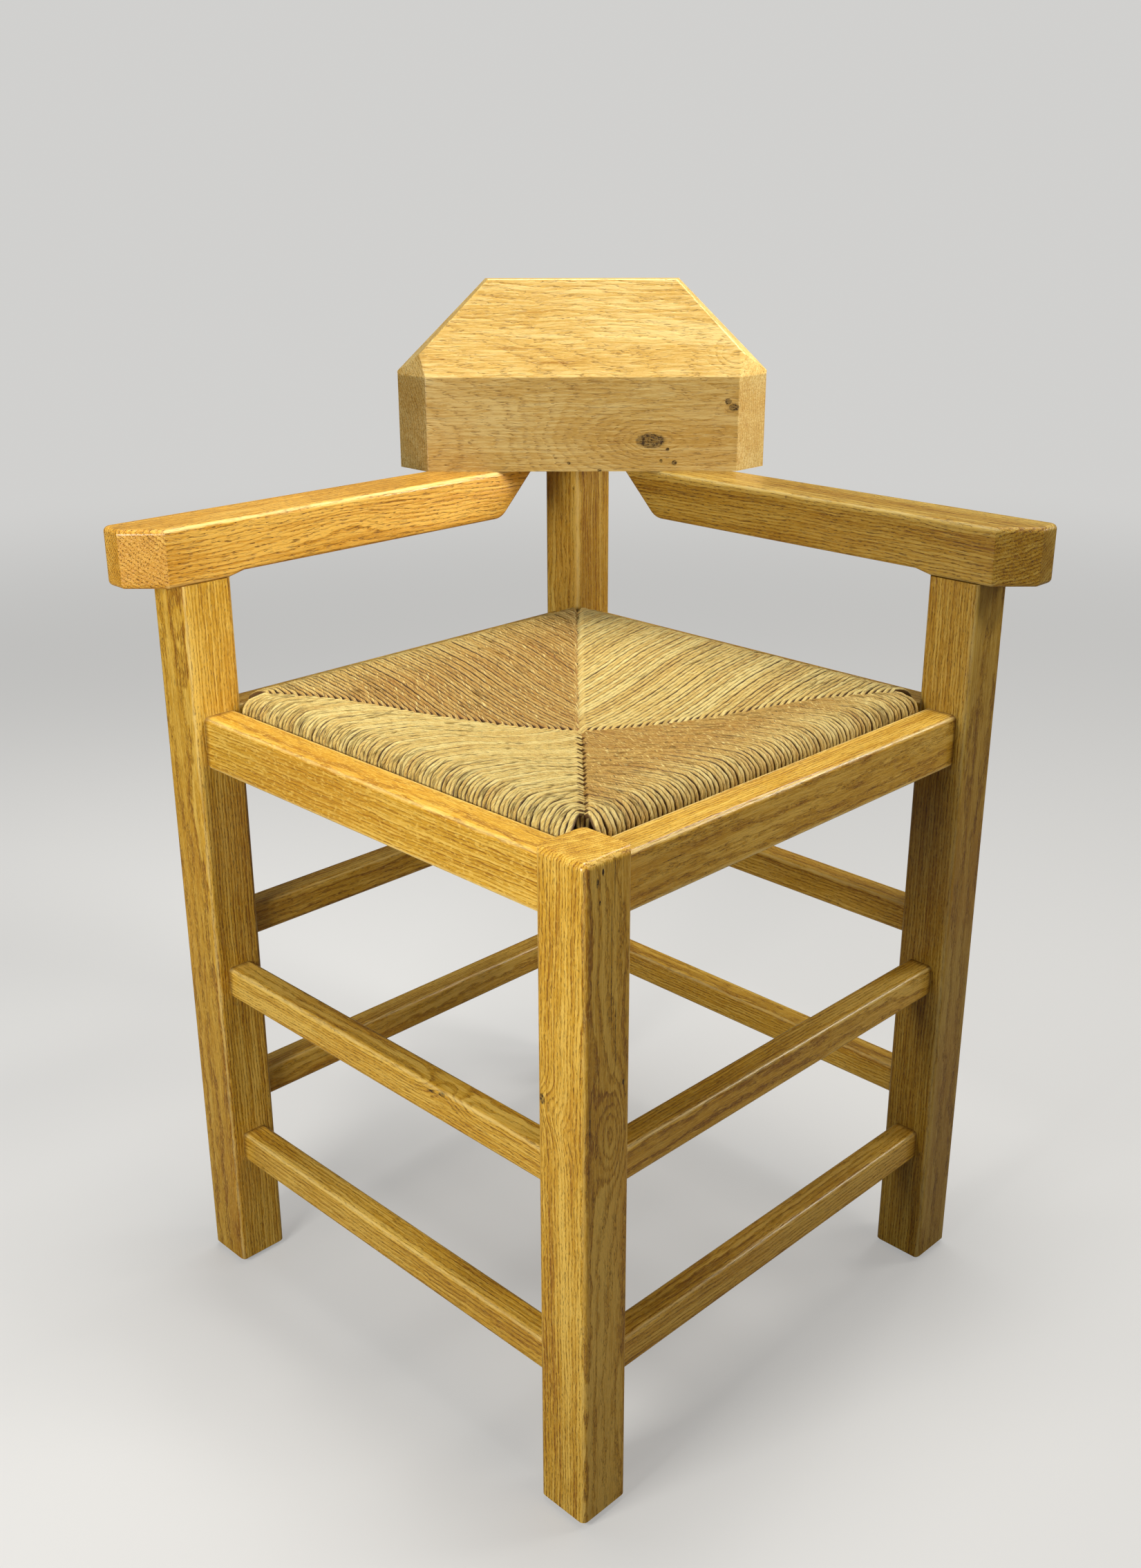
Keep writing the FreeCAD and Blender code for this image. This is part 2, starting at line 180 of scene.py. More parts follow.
def makeCamera(look):
    data = bpy.data.cameras.new("camera")
    data.lens = look["lens"]
    data.sensor_width = look["sensor"]
    data.clip_start = look["near"]
    data.clip_end = look["far"]
    camera = bpy.data.objects.new("camera", data)
    scene.collection.objects.link(camera)
    turn = Matrix.Rotation(radians(look["turn"]), 3, "Z")
    tilt = Matrix.Rotation(radians(90 + look["tilt"]), 3, "X")
    roll = Matrix.Rotation(radians(look["roll"]), 3, "Z")
    camera.rotation_euler = (turn @ tilt @ roll).to_euler()
    camera.location = look["place"]
    scene.camera = camera


studio = {
    "floorHalf": 30,
    "floorColor": (0.74, 0.735, 0.72),
    "floorRoughness": 0.8,
    "floorSpecular": 0.2,
    "evenShare": 0.5,    # how much of the floor's own light is even, the rest shows lamps and shadows
    "bounceColor": (0.23, 0.205, 0.165),    # what the floor throws back on the chair
    "worldColor": (0.93, 0.96, 1.0),
    "worldLevel": 0.08,
    "backgroundLevel": 0.86,
    "fadeFrom": 1.2,
    "fadeTo": 3.4,
    # name: place, aimed at, size, watts, colour
    "lamps": {
        "keyLeft": ((-0.62, -0.78, 0.68), (0.0, -0.05, 0.36), 0.34, 7.6, (1.0, 0.985, 0.95)),
        "overhead": ((0.0, 0.2, 2.6), (0.0, 0.0, 0.5), 0.9, 44, (1.0, 0.99, 0.97)),
        "rearRight": ((1.25, 1.25, 2.3), (0.0, 0.0, 0.45), 0.6, 11, (1.0, 0.99, 0.96)),
        "rightSide": ((1.7, 0.25, 1.3), (0.05, -0.05, 0.35), 0.45, 7.5, (1.0, 0.98, 0.93)),
        "fillRight": ((1.3, -1.3, 1.0), (0.0, 0.0, 0.35), 0.8, 3.4, (1.0, 0.86, 0.66)),
    },
    # name: place, aimed at, cone in degrees, blend, radius, watts, colour
    "spots": {
        "backRight": ((1.35, -0.45, 2.0), (-0.03, 0.2, 0.70), 29, 0.8, 0.30, 132, (1.0, 0.985, 0.95)),
        "backEnd": ((1.5, 0.0, 0.82), (0.135, 0.192, 0.632), 9, 1.0, 0.10, 74, (1.0, 0.97, 0.90)),
    },
}


def makeFloorPaint(look):
    material, tree, shader = startMaterial("floorPaint")
    shader.inputs["Roughness"].default_value = look["floorRoughness"]
    shader.inputs["Specular IOR Level"].default_value = look["floorSpecular"]
    seen = addNode(tree, "ShaderNodeLightPath").outputs["Is Camera Ray"]
    feed(tree, shader.inputs["Base Color"], blendColors(tree, seen, look["bounceColor"], look["floorColor"]))

    # far from the chair the floor turns into the plain backdrop
    away = vectorMaths(tree, "LENGTH", addNode(tree, "ShaderNodeTexCoord").outputs["Object"])
    fade = ease(tree, away, look["fadeFrom"], look["fadeTo"], look["evenShare"])
    backdrop = evenLight(tree, "ShaderNodeEmission", look["floorColor"], look["backgroundLevel"])
    out = tree.nodes["Material Output"]
    mixShaders(tree, maths(tree, "MULTIPLY", fade, seen), shader.outputs[0], backdrop, out)
    return material


def makeWorld(look):
    scene.world = bpy.data.worlds.new("studio")
    scene.world.use_nodes = True
    tree = scene.world.node_tree
    tree.nodes.clear()
    soft = evenLight(tree, "ShaderNodeBackground", look["worldColor"], look["worldLevel"])
    seen = evenLight(tree, "ShaderNodeBackground", look["floorColor"], look["backgroundLevel"])
    path = addNode(tree, "ShaderNodeLightPath")
    mixShaders(tree, path.outputs["Is Camera Ray"], soft, seen, addNode(tree, "ShaderNodeOutputWorld"))


def hangLamp(name, data, place, target, watts, color):
    data.energy = watts
    data.color = color
    lamp = bpy.data.objects.new(name, data)
    scene.collection.objects.link(lamp)
    lamp.location = place
    lamp.rotation_euler = (Vector(target) - Vector(place)).to_track_quat("-Z", "Y").to_euler()


def makeStudio(look):
    mesh = bpy.data.meshes.new("floor")
    size = look["floorHalf"]
    corners = [(-size, -size, 0), (size, -size, 0), (size, size, 0), (-size, size, 0)]
    mesh.from_pydata(corners, [], [(0, 1, 2, 3)])
    floor = bpy.data.objects.new("floor", mesh)
    scene.collection.objects.link(floor)
    mesh.materials.append(makeFloorPaint(look))
    makeWorld(look)
    for name, (place, target, wide, watts, color) in look["lamps"].items():
        data = bpy.data.lights.new(name, "AREA")
        data.shape = "SQUARE"
        data.size = wide
        hangLamp(name, data, place, target, watts, color)
    for name, (place, target, cone, soft, radius, watts, color) in look["spots"].items():
        data = bpy.data.lights.new(name, "SPOT")
        data.spot_size = radians(cone)
        data.spot_blend = soft
        data.shadow_soft_size = radius
        hangLamp(name, data, place, target, watts, color)


makeCamera(cameraLook)
makeStudio(studio)
print("camera and studio made")


# Oak: growth rings round a pith line, bands of fine pores, ray flecks, long streaks and slow changes of tone.
# Scales are how often each figure changes in a metre, first along the grain.
oakScales = {
    "wave": (20, 34, 34), "slow": (2.6, 9, 9), "middle": (22, 70, 70), "small": (90, 420, 420),
    "finePores": (380, 2300, 2300), "longPores": (95, 2100, 2100), "fibre": (26, 1050, 1050),
    "hairs": (80, 1900, 1900), "patch": (7, 24, 24), "streak": (3.0, 130, 130), "glow": (5, 17, 17),
    "rays": (260.0, 420.0, 150.0),    # along the grain, away from the pith and round it
}
# The two values between which each figure goes from nothing to full
oakSteps = {
    "earlyRise": (0.0, 0.16), "earlyFall": (0.22, 0.62), "finePores": (0.55, 0.65), "longPores": (0.65, 0.72),
    "rays": (0.55, 0.66), "hairs": (0.62, 0.68), "glow": (0.50, 0.72), "golden": (0.18, 0.50),
    "light": (0.48, 0.82),
}
# How much each figure counts, in the ring lines, the shade and the colour
oakLevels = {
    "small": 0.8, "latePores": 0.25, "longPores": 0.75, "shade": 0.62, "fibre": 1.0, "patch": 0.6,
    "hairs": 0.6, "pores": 0.7, "dirt": 0.72,
}
oakRoughness = {"pores": 0.25, "patch": 0.12, "dirt": 0.25, "wear": -0.06}
oakRelief = {"pores": -0.8, "early": -0.25, "fibre": 0.25}
oakFinish = {"roughness": 0.34, "relief": 0.0005, "specular": 0.32, "coat": 0.4, "coatRoughness": 0.13}
oakDefaults = {
    "Ring Width": 0.0024, "Ring Contrast": 0.22, "Wander": 5.0, "Ripple": 1.6, "Wave": 0.004, "Coarse": 1.0,
    "Fleck": 0.3, "Porous": 0.85, "Streak": 0.85, "Glow": 0.38, "Worn": 0.6, "Wear Sheen": 0.0, "Dirt": 0.0,
    "Knot Phase": 0.0, "Knot Dark": 0.0, "Seed": 0.0, "Tone": 1.0,
}
oakColors = {
    "Light": (0.84, 0.54, 0.10), "Golden": (0.62, 0.33, 0.024), "Brown": (0.36, 0.150, 0.008),
    "Orange": (0.60, 0.27, 0.02), "Rubbed Sheen": (0.95, 0.74, 0.30), "Pore": (0.12, 0.042, 0.004),
    "Hollow": (0.045, 0.018, 0.004),
}


# The vector runs along the grain in X, in metres.
def makeOakGroup():
    tree, given, result = makeGroup("oakFigure", [
        ("Vector", "Vector", None), ("Pith", "Vector", (0, 0.1, 0.05)), ("Lean", "Vector", (0, 0, 0)),
        *[(label, "Float", value) for label, value in oakDefaults.items()],
        *[(label, "Color", value) for label, value in oakColors.items()]],
        [("Color", "Color"), ("Roughness", "Float"), ("Height", "Float")])

    def stepped(vector, name, detail=1.0):
        return ease(tree, noise(tree, vector, oakScales[name], detail), *oakSteps[name])

    seeded = vectorMaths(tree, "ADD", given["Vector"], scaleVector(tree, (1.7, 2.3, 3.1), given["Seed"]))
    leaning = scaleVector(tree, given["Lean"], splitVector(tree, given["Vector"])["X"])
    pith = vectorMaths(tree, "ADD", given["Pith"], leaning)
    bend = noise(tree, seeded, oakScales["wave"], output="Color")
    bend = vectorMaths(tree, "MULTIPLY", vectorMaths(tree, "SUBTRACT", bend, (0.5, 0.5, 0.5)), (0, 1, 1))
    waved = vectorMaths(tree, "ADD", seeded, scaleVector(tree, bend, given["Wave"]))
    waved = scaleVector(tree, waved, given["Coarse"])

    across = vectorMaths(tree, "MULTIPLY", vectorMaths(tree, "SUBTRACT", given["Vector"], pith), (0, 1, 1))
    radius = vectorMaths(tree, "LENGTH", across)
    phase = maths(tree, "DIVIDE", radius, given["Ring Width"])
    shifts = {"slow": (1.0, given["Wander"]), "middle": (2.0, given["Ripple"]),
              "small": (1.0, oakLevels["small"])}
    for name, (detail, amount) in shifts.items():
        phase = addSpread(tree, phase, noise(tree, seeded, oakScales[name], detail), amount)
    phase = maths(tree, "ADD", phase, given["Knot Phase"])
    part = maths(tree, "FRACT", phase)
    falling = ease(tree, part, *oakSteps["earlyFall"], 1.0, 0.0)
    early = maths(tree, "MULTIPLY", ease(tree, part, *oakSteps["earlyRise"]), falling)
    years = addNode(tree, "ShaderNodeTexWhiteNoise", noise_dimensions="1D")
    feed(tree, years.inputs["W"], maths(tree, "FLOOR", phase))

    late = oakLevels["latePores"]
    often = maths(tree, "MULTIPLY_ADD", early, 1 - late, late)
    pores = maths(tree, "MULTIPLY", stepped(waved, "finePores"), often)
    longPores = maths(tree, "MULTIPLY", stepped(waved, "longPores"), oakLevels["longPores"])
    pores = maths(tree, "MULTIPLY", maths(tree, "MAXIMUM", pores, longPores), given["Porous"])
    sideways = splitVector(tree, across)
    rays = addNode(tree, "ShaderNodeCombineXYZ")
    feed(tree, rays.inputs["X"], splitVector(tree, seeded)["X"])
    feed(tree, rays.inputs["Y"], radius)
    feed(tree, rays.inputs["Z"], maths(tree, "ARCTAN2", sideways["Y"], sideways["Z"]))
    flecks = maths(tree, "MULTIPLY", stepped(rays.outputs[0], "rays"), given["Fleck"])
    fibre = noise(tree, waved, oakScales["fibre"], 3.0, 0.65)
    hairs = stepped(vectorMaths(tree, "ADD", waved, (0.3, 0.7, 0.1)), "hairs")
    patch = noise(tree, seeded, oakScales["patch"])
    streak = noise(tree, waved, oakScales["streak"])
    glow = stepped(seeded, "glow", 2.0)

    darker = maths(tree, "MULTIPLY", early, given["Ring Contrast"])
    shade = maths(tree, "SUBTRACT", oakLevels["shade"], darker)
    spreads = ((years.outputs["Value"], given["Ring Contrast"]), (fibre, oakLevels["fibre"]),
               (patch, oakLevels["patch"]), (streak, given["Streak"]))
    for field, amount in spreads:
        shade = addSpread(tree, shade, field, amount)
    color = blendColors(tree, ease(tree, shade, *oakSteps["golden"]), given["Brown"], given["Golden"])
    color = blendColors(tree, ease(tree, shade, *oakSteps["light"]), color, given["Light"])
    layers = (
        (maths(tree, "MULTIPLY", glow, given["Glow"]), "Orange"),
        (flecks, "Light"),
        (maths(tree, "MULTIPLY", hairs, oakLevels["hairs"]), "Light"),
        (maths(tree, "MULTIPLY", pores, oakLevels["pores"]), "Pore"),
        (given["Knot Dark"], "Hollow"),
        # wear on the arrises in a pale rubbed colour, partly a painted sheen
        (maths(tree, "MULTIPLY", given["Wear Sheen"], given["Worn"]), "Rubbed Sheen"),
        # dirt at the joints, partly painted contact shade
        (maths(tree, "MULTIPLY", given["Dirt"], oakLevels["dirt"]), "Pore"),
    )
    for share, tint in layers:
        color = blendColors(tree, share, color, given[tint])
    feed(tree, result["Color"], scaleVector(tree, color, given["Tone"]))

    fields = {"pores": pores, "early": early, "fibre": fibre, "patch": patch,
              "dirt": given["Dirt"], "wear": given["Wear Sheen"]}
    sums = {"Roughness": (oakFinish["roughness"], oakRoughness), "Height": (0.0, oakRelief)}
    for label, (total, shares) in sums.items():
        for name, share in shares.items():
            total = maths(tree, "MULTIPLY_ADD", fields[name], share, total)
        feed(tree, result[label], total)
    return tree


# A knot lifts the rings into loops and has a dark, cracked core with a ragged edge.
knotLook = {
    "edgeScale": (420, 420, 420), "ragged": 0.5, "least": 0.75, "edge": (0.75, 1.15),
    "crackScale": (350, 350, 900), "cracks": (0.48, 0.58), "uncracked": 0.55,
}


def makeKnotGroup(look):
    tree, given, result = makeGroup("oakKnot", [
        ("Vector", "Vector", None), ("Place", "Vector", (0, 0, 0)), ("Spread", "Vector", (0.03, 0.03, 0.015)),
        ("Rings", "Float", 6.0), ("Core", "Float", 0.2), ("Phase", "Float", 0.0), ("Dark", "Float", 0.0)],
        [("Phase", "Float"), ("Dark", "Float")])
    shift = vectorMaths(tree, "SUBTRACT", given["Vector"], given["Place"])
    shift = vectorMaths(tree, "DIVIDE", shift, given["Spread"])
    away = vectorMaths(tree, "LENGTH", shift)
    hill = maths(tree, "EXPONENT", maths(tree, "MULTIPLY", maths(tree, "MULTIPLY", away, away), -1.0))
    feed(tree, result["Phase"], maths(tree, "MULTIPLY_ADD", hill, given["Rings"], given["Phase"]))
    edge = noise(tree, given["Vector"], look["edgeScale"], 3.0)
    ragged = maths(tree, "MULTIPLY_ADD", edge, look["ragged"], look["least"])
    inside = maths(tree, "DIVIDE", away, maths(tree, "MULTIPLY", given["Core"], ragged))
    core = ease(tree, inside, *look["edge"], 1.0, 0.0)
    cracks = ease(tree, noise(tree, given["Vector"], look["crackScale"]), *look["cracks"], look["uncracked"])
    feed(tree, result["Dark"], maths(tree, "MAXIMUM", maths(tree, "MULTIPLY", core, cracks), given["Dark"]))
    return tree


# A mask that fades out over a ragged width
def raggedBand(tree, vector, distance, width, look):
    rough = noise(tree, vector, look["scale"], 3.0)
    width = maths(tree, "MULTIPLY", width, maths(tree, "MULTIPLY_ADD", rough, look["ragged"], look["least"]))
    return ease(tree, distance, 0.0, width, 1.0, 0.0)


# Wear along the long arrises of a squared piece, partly a painted sheen, from its half sizes across the grain
wearSheenLook = {"scale": (60, 300, 300), "ragged": 1.6, "least": 0.2, "width": 0.003}
# Dark wax and dust where a member meets the legs, partly painted contact shade, from the distance to its
# shoulders
jointLook = {"scale": (300, 160, 160), "ragged": 1.5, "least": 0.1, "width": 0.007}


def makeWearSheenGroup(look):
    tree, given, result = makeGroup("arrisWearSheen", [
        ("Vector", "Vector", None), ("Half", "Vector", (0, 0.02, 0.02)), ("Width", "Float", look["width"])],
        [("Mask", "Float")])
    inside = vectorMaths(tree, "SUBTRACT", given["Half"], vectorMaths(tree, "ABSOLUTE", given["Vector"]))
    parts = splitVector(tree, inside)
    edge = maths(tree, "MAXIMUM", parts["Y"], parts["Z"])
    feed(tree, result["Mask"], raggedBand(tree, given["Vector"], edge, given["Width"], look))
    return tree


def makeJointGroup(look):
    tree, given, result = makeGroup("jointDirtShade", [
        ("Vector", "Vector", None), ("Shoulder", "Float", 0.1), ("Width", "Float", look["width"])],
        [("Mask", "Float")])
    along = maths(tree, "ABSOLUTE", splitVector(tree, given["Vector"])["X"])
    inside = maths(tree, "SUBTRACT", given["Shoulder"], along)
    feed(tree, result["Mask"], raggedBand(tree, given["Vector"], inside, given["Width"], look))
    return tree


oakGroup = makeOakGroup()
knotGroup = makeKnotGroup(knotLook)
wearSheenGroup = makeWearSheenGroup(wearSheenLook)
jointGroup = makeJointGroup(jointLook)
print("shader groups made")

# Directions of the grain, as three axes of each piece: along, across, and the third
root = sqrt(0.5)
grainAxes = {
    "up": ((0, 0, 1), (root, root, 0), (-root, root, 0)),
    "frontRight": ((root, root, 0), (-root, root, 0), (0, 0, 1)),
    "frontLeft": ((-root, root, 0), (-root, -root, 0), (0, 0, 1)),
    "across": ((1, 0, 0), (0, 1, 0), (0, 0, 1)),
}


def pieceVector(tree, grain, centre):
    turn = Matrix(grainAxes[grain])
    mapping = addNode(tree, "ShaderNodeMapping")
    feed(tree, mapping.inputs["Vector"], addNode(tree, "ShaderNodeTexCoord").outputs["Object"])
    mapping.inputs["Rotation"].default_value = turn.to_euler("XYZ")
    mapping.inputs["Location"].default_value = -(turn @ Vector(centre))
    return mapping.outputs["Vector"]


# What a look may give the oak group, besides pith, lean, seed, tone, shoulder and knots
oakInputs = {
    "wander": "Wander", "ripple": "Ripple", "fleck": "Fleck", "porous": "Porous", "streak": "Streak",
    "wave": "Wave", "glow": "Glow", "worn": "Worn", "coarse": "Coarse", "ringWidth": "Ring Width",
    "ringContrast": "Ring Contrast", "Light": "Light", "Golden": "Golden", "Brown": "Brown",
}


# A knot is a place, a spread, the rings it lifts and its core, on the piece's own axes.
# A shade is an axis, the two places between which the tone changes, and the tone at each; it paints shade or
# light on part of a piece.
def makeOak(name, look):
    material, tree, shader = startMaterial(name)
    vector = pieceVector(tree, look["grain"], look["centre"])
    phase, dark = 0.0, 0.0
    for place, spread, rings, core in look.get("knots", ()):
        knot = useGroup(tree, knotGroup, {"Vector": vector, "Place": place, "Spread": spread, "Rings": rings,
                                          "Core": core, "Phase": phase, "Dark": dark})
        phase, dark = knot["Phase"], knot["Dark"]
    wear = useGroup(tree, wearSheenGroup, {"Vector": vector, "Half": (0, *look["half"])})["Mask"]
    tone = look.get("tone", 1.0)
    for axis, low, high, toLow, toHigh in look.get("shades", ()):
        shade = ease(tree, splitVector(tree, vector)[axis], low, high, toLow, toHigh)
        tone = maths(tree, "MULTIPLY", tone, shade)
    settings = {"Vector": vector, "Knot Phase": phase, "Knot Dark": dark, "Wear Sheen": wear,
                "Pith": (0, *look["pith"]), "Seed": look["seed"], "Tone": tone}
    if "shoulder" in look:
        dirt = useGroup(tree, jointGroup, {"Vector": vector, "Shoulder": look["shoulder"]})
        settings["Dirt"] = dirt["Mask"]
    if "lean" in look:
        settings["Lean"] = (0, *look["lean"])
    settings.update({label: look[key] for key, label in oakInputs.items() if key in look})
    oak = useGroup(tree, oakGroup, settings)
    feed(tree, shader.inputs["Base Color"], oak["Color"])
    feed(tree, shader.inputs["Roughness"], oak["Roughness"])
    addBump(tree, shader, oak["Height"], oakFinish["relief"])
    shader.inputs["Specular IOR Level"].default_value = oakFinish["specular"]
    shader.inputs["Coat Weight"].default_value = oakFinish["coat"]
    shader.inputs["Coat Roughness"].default_value = oakFinish["coatRoughness"]
    return material


def dress(name, material):
    data = nodes[name].data
    data.materials.clear()
    data.materials.append(material)


legMiddle = 0.266    # from the centre to a leg's middle
legHalf = 0.0195
legLooks = {
    "front_leg": {"centre": (0, -legMiddle, 0.25), "pith": (0.05, 0.16), "seed": 1.3, "tone": 1.04,
                  # the front leg's right face is darkened by painted shade
                  "worn": 0.3, "shades": (("Z", -0.0195, -0.0185, 0.92, 1.0),),
                  "knots": [((0.0540, -0.0195, 0.0150), (0.011, 0.010, 0.007), 2.5, 0.33),
                            ((0.0455, -0.0195, 0.0070), (0.013, 0.010, 0.008), 2.0, 0.001),
                            ((0.0360, -0.0195, -0.0050), (0.012, 0.010, 0.007), 1.6, 0.001),
                            ((0.0350, 0.0035, -0.0195), (0.028, 0.0105, 0.010), 4.5, 0.001),
                            ((0.1441, 0.0023, -0.0195), (0.045, 0.00035, 0.006), 0.0, 1.0),
                            ((0.1950, 0.0045, -0.0195), (0.022, 0.00030, 0.006), 0.0, 1.0),
                            ((0.1000, 0.0060, -0.0195), (0.024, 0.00030, 0.006), 0.0, 1.0),
                            ((0.0500, -0.0146, -0.0195), (0.015, 0.00045, 0.006), 0.0, 1.0),
                            ((0.1995, -0.0092, -0.0195), (0.0030, 0.0011, 0.004), 0.0, 1.0),
                            ((0.2046, -0.0049, -0.0195), (0.0024, 0.0009, 0.004), 0.0, 1.0),
                            ((0.1870, -0.0072, -0.0195), (0.0016, 0.0007, 0.004), 0.0, 1.0),
                            ((0.0660, 0.0130, -0.0195), (0.0021, 0.0008, 0.004), 0.0, 1.0)]},
    # The right and rear legs' low tones are painted shade
    "right_leg": {"centre": (legMiddle, 0, 0.25), "pith": (-0.02, 0.19), "seed": 2.6, "tone": 0.62},
    "rear_leg": {"centre": (0, legMiddle, 0.25), "pith": (0.12, 0.08), "seed": 3.9, "tone": 0.8},
    "left_leg": {"centre": (-legMiddle, 0, 0.25), "pith": (0.17, -0.03), "seed": 5.2, "tone": 0.98},
}
for name, look in legLooks.items():
    dress(name, makeOak("oak_" + name, {"grain": "up", "half": (legHalf, legHalf), **look}))

# Rails and stretchers
sideOut = 0.188 * root    # to a side's middle, along X and along Y
sides = {
    "front_right": ("frontRight", (sideOut, -sideOut)),
    "back_right": ("frontLeft", (sideOut, sideOut)),
    "back_left": ("frontRight", (-sideOut, sideOut)),
    "front_left": ("frontLeft", (-sideOut, -sideOut)),
}
barLooks = {
    # The front right rail's and upper stretcher's bright worn arrises are mostly a painted highlight
    "front_right_seat_rail": {"pith": (0.07, 0.02), "seed": 7.1, "tone": 0.95, "worn": 0.9,
                              "knots": [((-0.1260, -0.012, 0.0033), (0.010, 0.006, 0.0004), 0.0, 1.0)]},
    "back_right_seat_rail": {"pith": (0.11, 0.05), "seed": 8.2, "tone": 0.95},
    "back_left_seat_rail": {"pith": (0.09, -0.04), "seed": 9.3, "tone": 0.95},
    "front_left_seat_rail": {"pith": (0.03, 0.15), "seed": 10.4, "tone": 1.02, "fleck": 0.6, "wander": 3.0,
                             "porous": 0.5, "streak": 0.35},
    "front_right_lower_stretcher": {"pith": (0.06, 0.10), "seed": 11.5},
    "back_right_lower_stretcher": {"pith": (0.03, 0.12), "seed": 12.6, "tone": 0.92},
    "back_left_lower_stretcher": {"pith": (0.09, 0.03), "seed": 13.7, "tone": 0.92},
    "front_left_lower_stretcher": {"pith": (0.08, -0.06), "seed": 14.8},
    "front_right_upper_stretcher": {"pith": (0.10, 0.02), "seed": 15.9, "worn": 0.8},
    "back_right_upper_stretcher": {"pith": (0.05, 0.09), "seed": 17.0, "tone": 0.92},
    "back_left_upper_stretcher": {"pith": (0.07, 0.05), "seed": 18.1, "tone": 0.92},
    "front_left_upper_stretcher": {"pith": (0.04, 0.11), "seed": 19.2,
                                   "knots": [((-0.0705, 0.0090, 0.0095), (0.017, 0.011, 0.008), 3.6, 0.20),
                                             ((-0.0600, 0.0090, 0.0080), (0.005, 0.0030, 0.0010), 0.0, 1.0)]},
}
barHeights = {"seat_rail": 0.4365, "lower_stretcher": 0.105, "upper_stretcher": 0.2475}
barHalves = {"seat_rail": (0.012, 0.0185), "lower_stretcher": (0.010, 0.012),
             "upper_stretcher": (0.010, 0.012)}
backRise = {"seat_rail": 0.0, "lower_stretcher": 0.040, "upper_stretcher": 0.037}
shoulder = 0.1685    # from a side's middle to the leg
for name, look in barLooks.items():
    side = "_".join(name.split("_")[:2])
    level = "_".join(name.split("_")[2:])
    grain, (x, y) = sides[side]
    z = barHeights[level] + (backRise[level] if side.startswith("back") else 0)
    place = {"grain": grain, "centre": (x, y, z), "half": barHalves[level], "shoulder": shoulder}
    dress(name, makeOak("oak_" + name, {**place, **look}))

# Arms and back
armLine = 0.1905 * root
armLevel = 0.5685
armLooks = {
    # The arms' strong wear is partly a painted highlight on their arrises, and the right arm's low tone is
    # painted shade
    "right_arm": {"grain": "frontLeft", "centre": (armLine, armLine, armLevel), "pith": (0.05, 0.10),
                  "seed": 21.0, "tone": 0.58, "coarse": 0.7, "worn": 0.8},
    "left_arm": {"grain": "frontRight", "centre": (-armLine, armLine, armLevel), "pith": (-0.09, 0.07),
                 "seed": 22.5, "coarse": 0.6, "worn": 0.85, "glow": 0.6,
                 "Golden": (0.62, 0.30, 0.03), "Light": (0.82, 0.48, 0.085),
                 "knots": [((-0.07, -0.024, 0.002), (0.05, 0.02, 0.012), 3.0, 0.05)]},
}
for name, look in armLooks.items():
    dress(name, makeOak("oak_" + name, {"half": (0.022, 0.020), "porous": 1.0, **look}))

# The backrest's grain is calm. Its lower half and left end get painted shade and its right end painted light
backLook = {"grain": "across", "centre": (0.003, 0.177, 0.6595), "pith": (0.13, -0.046), "lean": (0.10, 0.02),
            "half": (0.2, 0.2), "seed": 24.0, "ringWidth": 0.0022, "ringContrast": 0.06, "wander": 7.0,
            "ripple": 2.2, "wave": 0.006, "porous": 0.6, "streak": 0.5, "coarse": 0.62, "glow": 0.15,
            "Light": (0.90, 0.66, 0.25), "Golden": (0.70, 0.43, 0.10), "Brown": (0.40, 0.18, 0.02),
            # painted shade on the lower half and the left end, painted light on the right end
            "shades": (("Z", -0.0006, 0.0012, 0.65, 1.0), ("X", 0.119, 0.121, 1.0, 1.1),
                       ("X", -0.121, -0.119, 0.9, 1.0)),
            "knots": [((0.050, 0.0, -0.048), (0.085, 0.08, 0.026), 9.0, 0.001),
                      ((0.053, 0.0, -0.0475), (0.020, 0.05, 0.010), 3.0, 0.58),
                      ((0.1165, 0.0, -0.0225), (0.014, 0.02, 0.010), 2.5, 0.30),
                      ((0.115, 0.0, 0.0165), (0.016, 0.03, 0.012), 3.0, 0.08),
                      ((0.0715, 0.0, -0.0645), (0.0022, 0.05, 0.0021), 0.0, 1.0),
                      ((0.0612, 0.0, -0.0630), (0.0014, 0.05, 0.0013), 0.0, 1.0),
                      ((0.0660, 0.0, -0.0540), (0.0015, 0.05, 0.0017), 0.0, 1.0),
                      ((0.0135, 0.0, -0.0702), (0.0017, 0.05, 0.0014), 0.0, 1.0),
                      ((-0.0105, 0.0, -0.0645), (0.0014, 0.05, 0.0012), 0.0, 1.0),
                      ((0.1120, 0.0, -0.0180), (0.0030, 0.05, 0.0026), 0.0, 0.9)]}
dress("backrest", makeOak("oak_backrest", backLook))
blockLook = {"grain": "across", "centre": (0, 0.235, 0.6175), "pith": (0.10, 0.06), "half": (0.2, 0.2),
             "seed": 26.0, "tone": 0.9}
dress("corner_block", makeOak("oak_corner_block", blockLook))

# Softwood cleats and seat frame, and beech dowels
plain = {"centre": (0, 0, 0.43), "half": (0.5, 0.5), "pith": (0.05, 0.12), "wander": 3.0, "fleck": 0.0,
         "Light": (0.62, 0.45, 0.24), "Golden": (0.52, 0.36, 0.17), "Brown": (0.34, 0.21, 0.09)}
for grain in ("frontRight", "frontLeft"):
    material = makeOak("softwood_" + grain, {**plain, "grain": grain, "seed": 31.0, "ringWidth": 0.004})
    for side, (direction, spot) in sides.items():
        if direction == grain:
            dress(side + "_cleat", material)
            dress("seat_frame_" + side, material)
beech = makeOak("beech", {**plain, "grain": "up", "seed": 33.0, "ringWidth": 0.0015})
dress("arm_dowels", beech)
dress("backrest_dowels", beech)

